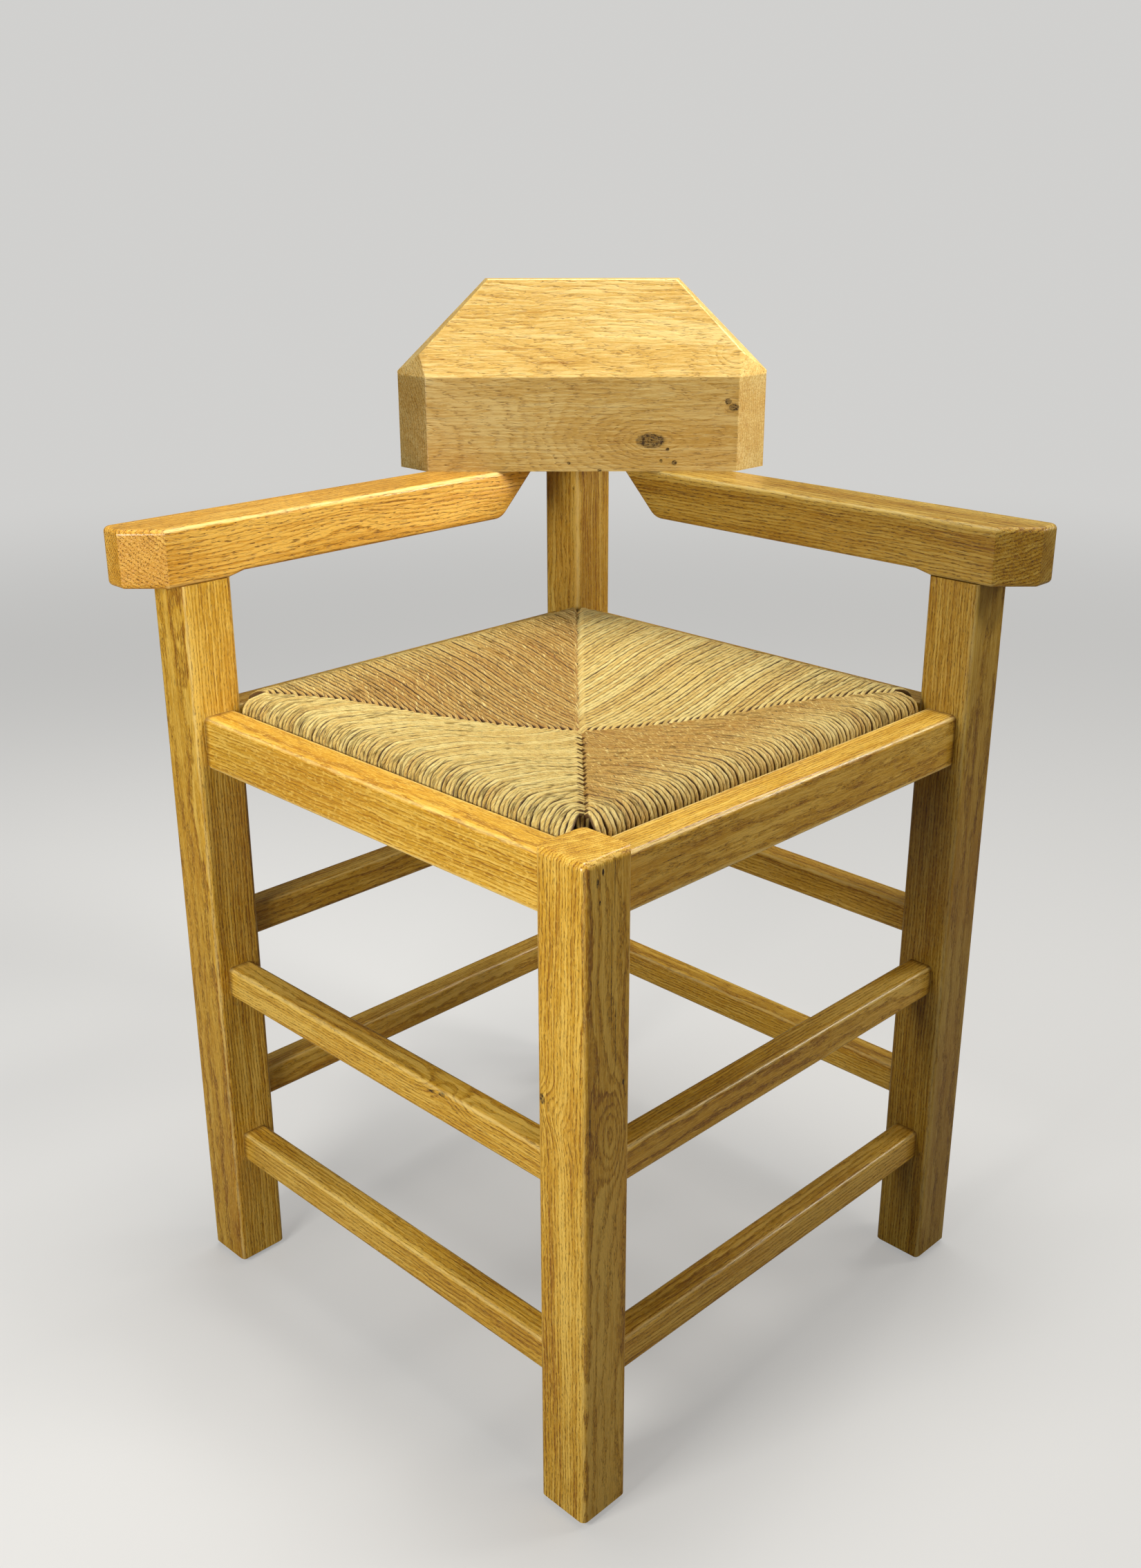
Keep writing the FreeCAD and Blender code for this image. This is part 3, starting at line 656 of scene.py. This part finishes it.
# Steel pins and black glides
pinLook = {
    "color": (0.56, 0.56, 0.57), "roughness": 0.38, "metallic": 1.0, "speckle": 900, "relief": 0.0001,
}
glideLook = {
    "color": (0.045, 0.043, 0.04), "roughness": 0.6, "metallic": 0.0, "speckle": 700, "relief": 0.0003,
}


def makeSimple(name, look):
    material, tree, shader = startMaterial(name)
    place = addNode(tree, "ShaderNodeTexCoord").outputs["Object"]
    speckle = noise(tree, place, (look["speckle"],) * 3, 3.0)
    darker = tuple(0.7 * c for c in look["color"])
    smooth, rough = look["roughness"] - 0.08, look["roughness"] + 0.1
    feed(tree, shader.inputs["Base Color"], blendColors(tree, speckle, darker, look["color"]))
    feed(tree, shader.inputs["Roughness"], ease(tree, speckle, 0.2, 0.8, smooth, rough))
    shader.inputs["Metallic"].default_value = look["metallic"]
    addBump(tree, shader, speckle, look["relief"])
    return material


dress("cleat_pins", makeSimple("pinSteel", pinLook))
glideBlack = makeSimple("glideBlack", glideLook)
for corner in ("front", "right", "rear", "left"):
    dress(corner + "_glide", glideBlack)
print("wood and small parts dressed")


# Rush seat, in metres. An inset is a distance in from the seat's edge.
rushLook = {
    "half": 0.1748, "notch": 0.0180, "crown": 0.467, "crownInset": 0.017, "shoulder": 0.455, "base": 0.433,
    "footRound": 0.005, "flatEnd": 0.028, "middle": 0.438, "underMiddle": 0.420, "sag": 0.55,
    "dish": ((0.0, 0.0), (0.25, 0.19), (0.52, 0.58), (0.8, 0.89), (1.0, 1.0)),
    "topPoints": 60, "edgePoints": 14, "underPoints": 40,
    "cords": 86, "thick": 0.0034, "thickRange": (0.94, 1.06), "quarterShift": 0.25,
    "step": 0.0036, "around": 12, "layPitch": 0.021, "ply": 0.12, "swell": 0.05, "swellRate": (120, 260),
    "wander": 0.0005, "unevenLift": 0.0003, "liftRate": (18, 40), "liftFrom": 0.012, "lowLift": 0.3,
    "topInset": 0.02, "diveLong": 0.0040, "diveDeep": 0.0030, "diveBelow": 0.5, "pastSeam": (0.0002, 0.0034),
    "seamRise": 0.0009, "seamUneven": 0.0009,
    "cornerLean": 0.005, "leanFrom": 0.08, "leanInset": 0.016, "cornerSwell": 0.12,
    # the front right and back left quarters get painted shade, a browner tone that fades out towards the
    # rolled edge
    "shadedQuarters": (45, 225), "paleEdge": 0.008, "shadeRise": 0.045, "edgeShade": 0.3, "seed": 11,
}
# Ends of cords that stand in the open corners
endLook = {
    "count": 3, "thick": 0.003, "points": 9, "bow": 0.0012, "out": 0.0035, "closing": 0.0030,
    "gap": 0.0034, "gapClosing": 0.0012, "foot": 0.443, "high": 0.0205, "way": 0.02,
}
# Loose shreds of leaf that lie along the cords, thickest on the front left roll
shredLook = {
    "count": 800, "frontLeftRoll": 170, "long": (0.005, 0.018), "thick": (0.0003, 0.0007), "slant": 0.22,
    "above": 0.0001, "bow": (-0.0003, 0.0004), "points": 8, "around": 4, "sideShare": 0.97, "step": 0.0015,
    "lowest": 0.446, "rollLong": 0.02, "leastRun": 0.002, "endGap": 0.012, "taper": 0.15, "layPace": 3,
}
bedLook = {"across": 41, "along": 60, "cornerGap": 0.001, "deep": 0.85, "inside": 0.999}
quarterTurns = (45, 135, 225, 315)    # degrees: front right, back right, back left, front left
anyAngle = (0, 6.3)
tiny = 1e-5


def throughPoints(knownX, knownY, x):
    knownX, knownY = np.array(knownX, float), np.array(knownY, float)
    slopes = np.gradient(knownY, knownX)
    i = np.clip(np.searchsorted(knownX, x) - 1, 0, len(knownX) - 2)
    wide = knownX[i + 1] - knownX[i]
    t = (x - knownX[i]) / wide
    return ((2 * t**3 - 3 * t**2 + 1) * knownY[i] + (t**3 - 2 * t**2 + t) * wide * slopes[i]
            + (-2 * t**3 + 3 * t**2) * knownY[i + 1] + (t**3 - t**2) * wide * slopes[i + 1])


# The outer line of the seat's section: from the middle of the underside, round the edge, to the middle
# of the top. Its columns are the inset and the height.
def seatSection(look):
    half, crownInset = look["half"], look["crownInset"]
    t = np.linspace(0, 1, look["topPoints"])
    run = half - crownInset
    fall = throughPoints(*zip(*look["dish"]), t)
    top = np.column_stack([crownInset + run * t, look["crown"] - (look["crown"] - look["middle"]) * fall])
    turn = np.linspace(0, pi / 2, look["edgePoints"])[:-1]
    rise = look["crown"] - look["shoulder"]
    edge = np.column_stack([crownInset * (1 - np.cos(turn)), look["shoulder"] + rise * np.sin(turn)])
    foot = look["footRound"]
    corner = np.column_stack([foot * (1 - np.sin(turn)), look["base"] + foot * (1 - np.cos(turn))])
    inset = np.linspace(half, look["flatEnd"], look["underPoints"])
    sagInset = half * look["sag"]
    deep = look["base"] - look["underMiddle"]
    under = throughPoints((look["flatEnd"], sagInset, half), (0, deep * look["sag"], deep), inset)
    below = np.column_stack([inset, look["base"] - under])
    line = np.vstack([below, corner, edge, top])
    gaps = np.linalg.norm(np.diff(line, axis=0), axis=1)
    return line[np.append(True, gaps > tiny)]


# The section's directions out of the seat
def lineNormals(line):
    along = np.gradient(line, axis=0)
    along /= np.linalg.norm(along, axis=1)[:, None]
    normals = np.column_stack([-along[:, 1], along[:, 0]])
    return normals if normals[len(line) // 2, 0] < 0 else -normals


# The part of the section that a cord follows out to this inset, a depth under the surface
def cordLine(section, normals, reach, depth, step):
    inner = section - depth * normals
    distance = np.append(0, np.cumsum(np.linalg.norm(np.diff(section, axis=0), axis=1)))
    inside = np.where(section[:, 0] <= reach)[0]
    first, last = distance[inside[0]], distance[inside[-1]]
    count = max(8, int((last - first) / step))
    s = np.linspace(first, last, count)
    return np.column_stack([np.interp(s, distance, inner[:, 0]), np.interp(s, distance, inner[:, 1])]), s


# A tube of two twisted plies round a centre line, with its lay and its outer side kept for the shader
def twistTube(centre, way, radius, look, rng, around, ply):
    count = len(centre)
    along = np.gradient(centre, axis=0)
    along /= np.linalg.norm(along, axis=1)[:, None]
    side = np.tile((1.0, 0, 0), (count, 1))
    side -= (side * along).sum(1)[:, None] * along
    side /= np.linalg.norm(side, axis=1)[:, None]
    over = np.cross(along, side)
    angles = np.arange(around) * 2 * pi / around
    twist = 2 * pi * way / look["layPitch"] + rng.uniform(*anyAngle)
    swell = 1 + look["swell"] * np.sin(way * rng.uniform(*look["swellRate"]) + rng.uniform(*anyAngle))
    local = angles[None, :] - twist[:, None]
    ring = (radius * swell)[:, None] * (1 + ply * np.cos(2 * local))
    body = (centre[:, None, :] + (ring * np.cos(angles))[:, :, None] * side[:, None, :]
            + (ring * np.sin(angles))[:, :, None] * over[:, None, :])
    lay = np.stack([np.cos(local), np.sin(local), np.broadcast_to(way[:, None], local.shape)], -1)
    outer = np.broadcast_to(-np.sin(angles)[None, :], local.shape)
    i = np.arange(count - 1)[:, None] * around
    j = np.arange(around)[None, :]
    k = (j + 1) % around
    faces = np.stack([i + j, i + k, i + around + k, i + around + j], -1)
    return body.reshape(-1, 3), faces.reshape(-1, 4), lay.reshape(-1, 3), outer.reshape(-1)


# One cord's centre line over the rail, from the seam below round the edge to the seam on top
def cordCentre(x, section, outward, look, rng, pastSeam):
    half, thick = look["half"], look["thick"]
    line, way = cordLine(section, outward, half - abs(x), thick / 2, look["step"])
    count = len(line)
    rise = look["seamRise"] * (pastSeam > look["seamRise"])
    for sign, run, share in ((1, way - way[0], look["diveBelow"]), (-1, way[-1] - way, 1.0)):
        near = np.clip(1 - run / look["diveLong"], 0, 1)
        line[:, 1] += sign * (near ** 2 * look["diveDeep"] * share - 4 * near * (1 - near) * rise)
        line[:, 0] += near * (pastSeam + rng.uniform(-look["seamUneven"], look["seamUneven"]))
    wobble = np.cumsum(rng.normal(0, 1, count))
    wobble -= np.linspace(wobble[0], wobble[-1], count)
    wobble *= look["wander"] / max(1.0, np.abs(wobble).max())
    outer = np.clip((abs(x) - look["leanFrom"]) / (half - look["notch"] - look["leanFrom"]), 0, 1) ** 2
    atEdge = np.clip(1 - line[:, 0] / look["leanInset"], 0, 1)
    atEdge = atEdge * atEdge * (3 - 2 * atEdge)
    lean = np.sign(x) * look["cornerLean"] * outer * atEdge
    slow = np.sin(way * rng.uniform(*look["liftRate"]) + rng.uniform(*anyAngle))
    sink = look["unevenLift"] * (rng.uniform(0, 1) - 0.5 * slow)
    onTop = np.clip(line[:, 0] / look["topInset"], 0, 1)
    upper = np.where(line[:, 1] > look["base"] + look["liftFrom"], 1.0, look["lowLift"])
    line[:, 0] += sink * upper * (1 - onTop)
    line[:, 1] -= sink * upper * onTop
    centre = np.column_stack([x + wobble + lean, -half + line[:, 0], line[:, 1]])
    return centre, way, 1 + look["cornerSwell"] * outer * atEdge


def turnedPoints(points, degrees):
    c, s = cos(radians(degrees)), sin(radians(degrees))
    x, y, z = points.T
    return np.column_stack([x * c - y * s, x * s + y * c, z])


# Keeps a tube in its quarter's place, with painted shade that grows away from the edge in the front right and
# back left quarters
def keepTube(made, tube, turn, tint, look):
    body, sheet, lay, outer = tube
    inset = np.clip((body[:, 1] + look["half"] - look["paleEdge"]) / look["shadeRise"], 0, 1)
    shadeShare = look["edgeShade"] + (1 - look["edgeShade"]) * inset
    made["faces"].append(sum(len(part) for part in made["points"]) + sheet)
    made["points"].append(turnedPoints(body, turn))
    made["lay"].append(lay)
    made["top"].append(outer)
    made["tint"].append(np.full(len(body), tint))
    made["quarterShade"].append(shadeShare * (turn in look["shadedQuarters"]))


def windCords(made, section, outward, look, rng):
    reachSide = look["half"] - look["notch"]
    pitch = 2 * reachSide / look["cords"]
    for quarter, turn in enumerate(quarterTurns):
        shift = look["quarterShift"] * pitch * (1 if quarter % 2 else -1)
        pastSeam = look["pastSeam"][quarter % 2]
        for number in range(look["cords"]):
            x = -reachSide + (number + 0.5) * pitch + shift
            centre, way, wider = cordCentre(x, section, outward, look, rng, pastSeam)
            radius = look["thick"] / 2 * rng.uniform(*look["thickRange"]) * wider
            tube = twistTube(centre, way, radius, look, rng, look["around"], look["ply"])
            keepTube(made, tube, turn, rng.uniform(0, 1), look)


def standEnds(made, ends, look, rng):
    reachSide = look["half"] - look["notch"]
    t = np.linspace(0, 1, ends["points"])
    radius = np.full(ends["points"], ends["thick"] / 2)
    for turn in quarterTurns:
        for number in range(ends["count"]):
            spread = number - (ends["count"] - 1) / 2
            bow = ends["bow"] * np.sin(pi * t) * rng.uniform(-1, 1)
            out = ends["out"] - ends["closing"] * t
            aside = spread * (ends["gap"] - ends["gapClosing"] * t) + bow
            z = ends["foot"] + ends["high"] * t
            centre = np.column_stack([reachSide + out + aside, -reachSide - out + aside, z])
            tube = twistTube(centre, ends["way"] * t, radius, look, rng, look["around"], look["ply"])
            keepTube(made, tube, turn, rng.uniform(0, 1), look)


def layShreds(made, section, outward, shreds, look, rng):
    half = look["half"]
    reachSide = half - look["notch"]
    count = shreds["points"]
    lines = {}
    for number in range(shreds["count"]):
        roll = number < shreds["frontLeftRoll"]
        turn = quarterTurns[3] if roll else quarterTurns[rng.integers(0, 4)]
        x = rng.uniform(-shreds["sideShare"], shreds["sideShare"]) * reachSide
        key = round(abs(x), 3)
        if key not in lines:
            lines[key] = cordLine(section, outward, half - key, 0, shreds["step"])
        line, way = lines[key]
        shown = way[line[:, 1] > shreds["lowest"]]
        if roll:
            first = shown[0] + rng.uniform(0, shreds["rollLong"])
        else:
            first = rng.uniform(shown[0], max(shown[0] + shreds["leastRun"], shown[-1] - shreds["endGap"]))
        last = min(first + rng.uniform(*shreds["long"]), way[-1])
        s = np.linspace(first, last, count)
        bow = shreds["above"] + rng.uniform(*shreds["bow"]) * np.sin(np.linspace(0, pi, count))
        inset, z = np.interp(s, way, line[:, 0]), np.interp(s, way, line[:, 1])
        slant = rng.normal(0, shreds["slant"]) * (s - first)
        flat = np.clip(inset / look["topInset"], 0, 1)
        centre = np.column_stack([x + slant, -half + inset - bow * (1 - flat), z + bow * flat])
        taper = np.sin(np.linspace(shreds["taper"], pi - shreds["taper"], count))
        radius = rng.uniform(*shreds["thick"]) / 2 * taper
        pace = s * shreds["layPace"]
        body, sheet, lay, outer = twistTube(centre, pace, radius, look, rng, shreds["around"], 0)
        keepTube(made, (body, sheet, lay, np.ones(len(outer))), turn, rng.uniform(0, 1), look)


def makeRush(look, ends, shreds):
    rng = np.random.default_rng(look["seed"])
    section = seatSection(look)
    outward = lineNormals(section)
    made = {"points": [], "faces": [], "lay": [], "top": [], "tint": [], "quarterShade": []}
    windCords(made, section, outward, look, rng)
    standEnds(made, ends, look, rng)
    layShreds(made, section, outward, shreds, look, rng)
    return {key: np.concatenate(value) for key, value in made.items()}


def meshPiece(name, points, faces):
    mesh = bpy.data.meshes.new(name)
    mesh.vertices.add(len(points))
    mesh.vertices.foreach_set("co", np.asarray(points, np.float32).ravel())
    mesh.loops.add(faces.size)
    mesh.loops.foreach_set("vertex_index", faces.astype(np.int32).ravel())
    mesh.polygons.add(len(faces))
    mesh.polygons.foreach_set("loop_start", np.arange(0, faces.size, faces.shape[1], dtype=np.int32))
    mesh.update(calc_edges=True)
    mesh.validate()
    mesh.polygons.foreach_set("use_smooth", np.full(len(mesh.polygons), True))
    piece = bpy.data.objects.new(name, mesh)
    scene.collection.objects.link(piece)
    return piece


# The bed under the cords: the stuffed shape that shows dark between them
def makeBed(bed, look):
    section = seatSection(look)
    outward = lineNormals(section)
    half = look["half"]
    reachSide = half - look["notch"] - bed["cornerGap"]
    across, along = bed["across"], bed["along"]
    t = np.linspace(0, 1, along)
    points, faces = [], []
    for quarter, turn in enumerate(quarterTurns):
        for x in np.linspace(-reachSide, reachSide, across):
            reach = half - abs(x) * bed["inside"]
            line, way = cordLine(section, outward, reach, look["thick"] * bed["deep"], look["step"])
            u = (way - way[0]) / (way[-1] - way[0])
            y = -half + np.interp(t, u, line[:, 0])
            z = np.interp(t, u, line[:, 1])
            points.append(turnedPoints(np.column_stack([np.full(along, x), y, z]), turn))
        i = (quarter * across + np.arange(across - 1))[:, None] * along
        j = np.arange(along - 1)[None, :]
        faces.append(np.stack([i + j, i + along + j, i + along + j + 1, i + j + 1], -1).reshape(-1, 4))
    return np.vstack(points), np.vstack(faces)


# The gap colour, at its gap level, is painted shade in the grooves between cords
rushColors = {
    "pale": (0.94, 0.77, 0.30), "straw": (0.78, 0.54, 0.14), "olive": (0.46, 0.225, 0.047),
    "dark": (0.065, 0.026, 0.006), "gap": (0.13, 0.050, 0.010), "quarterShadeTone": (0.70, 0.56, 0.40),
}
# The first four are counted round a cord twice and then along it, the last two in a metre
rushScales = {
    "fibres": (4.5, 4.5, 60.0), "streaks": (2.4, 2.4, 75.0), "flecks": (1.8, 1.8, 120.0),
    "shine": (1.8, 1.8, 100.0), "patches": (34, 34, 34), "stems": (240, 240, 240),
}
rushLevels = {
    "shade": 0.58, "fibres": 1.7, "streaks": 0.5, "tint": 0.34, "patches": 0.3, "shadedFlecks": 0.40,
    "paleFlecks": 0.35, "shine": 0.85, "gap": 0.92, "relief": 0.0013, "bedRelief": 0.0008,
    "specular": 0.55, "bedRoughness": 0.85,
}
rushSteps = {
    "flecks": (0.66, 0.72), "shine": (0.63, 0.69), "straw": (0.05, 0.50), "pale": (0.45, 0.85),
    "grooveShade": (0.28, 0.80), "rough": (0.2, 0.8, 0.34, 0.55),
}


def makeRushMaterial(colors, scales, levels, steps):
    material, tree, shader = startMaterial("rush")

    def kept(name, output="Fac"):
        return addNode(tree, "ShaderNodeAttribute", attribute_name=name).outputs[output]

    lay, tint = kept("cordLay", "Vector"), kept("cordTint")
    outer, quarterShade = kept("cordTop"), kept("cordQuarterShade")
    place = addNode(tree, "ShaderNodeTexCoord").outputs["Object"]
    each = vectorMaths(tree, "ADD", lay, scaleVector(tree, (3.0, 5.0, 9.0), tint))
    fibres = noise(tree, each, scales["fibres"], 3.0, 0.65)
    streaks = noise(tree, each, scales["streaks"])
    patches = noise(tree, place, scales["patches"], 3.0)
    flecks = ease(tree, noise(tree, each, scales["flecks"], 1.0), *steps["flecks"])
    moved = vectorMaths(tree, "ADD", each, (7.0, 3.0, 2.0))
    shine = ease(tree, noise(tree, moved, scales["shine"], 1.0), *steps["shine"])
    shade = levels["shade"]
    for field, name in ((fibres, "fibres"), (streaks, "streaks"), (tint, "tint"), (patches, "patches")):
        shade = addSpread(tree, shade, field, levels[name])
    color = blendColors(tree, ease(tree, shade, *steps["straw"]), colors["olive"], colors["straw"])
    color = blendColors(tree, ease(tree, shade, *steps["pale"]), color, colors["pale"])
    flecking = maths(tree, "MULTIPLY_ADD", quarterShade, levels["shadedFlecks"], levels["paleFlecks"])
    color = blendColors(tree, maths(tree, "MULTIPLY", flecks, flecking), color, colors["dark"])
    # painted shade on the front right and back left quarters
    color = blendColors(tree, quarterShade, color, colors["quarterShadeTone"], "MULTIPLY")
    color = blendColors(tree, maths(tree, "MULTIPLY", shine, levels["shine"]), color, colors["pale"])
    # painted shade on the cords' sides, where they meet the next cord
    grooveShade = ease(tree, outer, *steps["grooveShade"], levels["gap"], 0.0)
    feed(tree, shader.inputs["Base Color"], blendColors(tree, grooveShade, color, colors["gap"]))
    feed(tree, shader.inputs["Roughness"], ease(tree, fibres, *steps["rough"]))
    addBump(tree, shader, fibres, levels["relief"])
    shader.inputs["Specular IOR Level"].default_value = levels["specular"]
    return material


def makeBedMaterial(colors, scales, levels):
    material, tree, shader = startMaterial("rushBed")
    place = addNode(tree, "ShaderNodeTexCoord").outputs["Object"]
    stems = noise(tree, place, scales["stems"], 3.0)
    feed(tree, shader.inputs["Base Color"], blendColors(tree, stems, colors["dark"], colors["olive"]))
    shader.inputs["Roughness"].default_value = levels["bedRoughness"]
    addBump(tree, shader, stems, levels["bedRelief"])
    return material


woven = makeRush(rushLook, endLook, shredLook)
rush = meshPiece("rush_cords", woven["points"], woven["faces"])
lay = rush.data.attributes.new("cordLay", "FLOAT_VECTOR", "POINT")
lay.data.foreach_set("vector", woven["lay"].astype(np.float32).ravel())
for label, key in (("cordTint", "tint"), ("cordTop", "top"), ("cordQuarterShade", "quarterShade")):
    values = woven[key].astype(np.float32)
    rush.data.attributes.new(label, "FLOAT", "POINT").data.foreach_set("value", values)
rush.data.materials.append(makeRushMaterial(rushColors, rushScales, rushLevels, rushSteps))
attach(rush, "drop_in_seat")
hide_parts("rush_cover")

bed = meshPiece("rush_bed", *makeBed(bedLook, rushLook))
bed.data.materials.append(makeBedMaterial(rushColors, rushScales, rushLevels))
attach(bed, "drop_in_seat")
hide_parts("rush_stuffing")
print("rush seat made,", len(woven["points"]), "points")
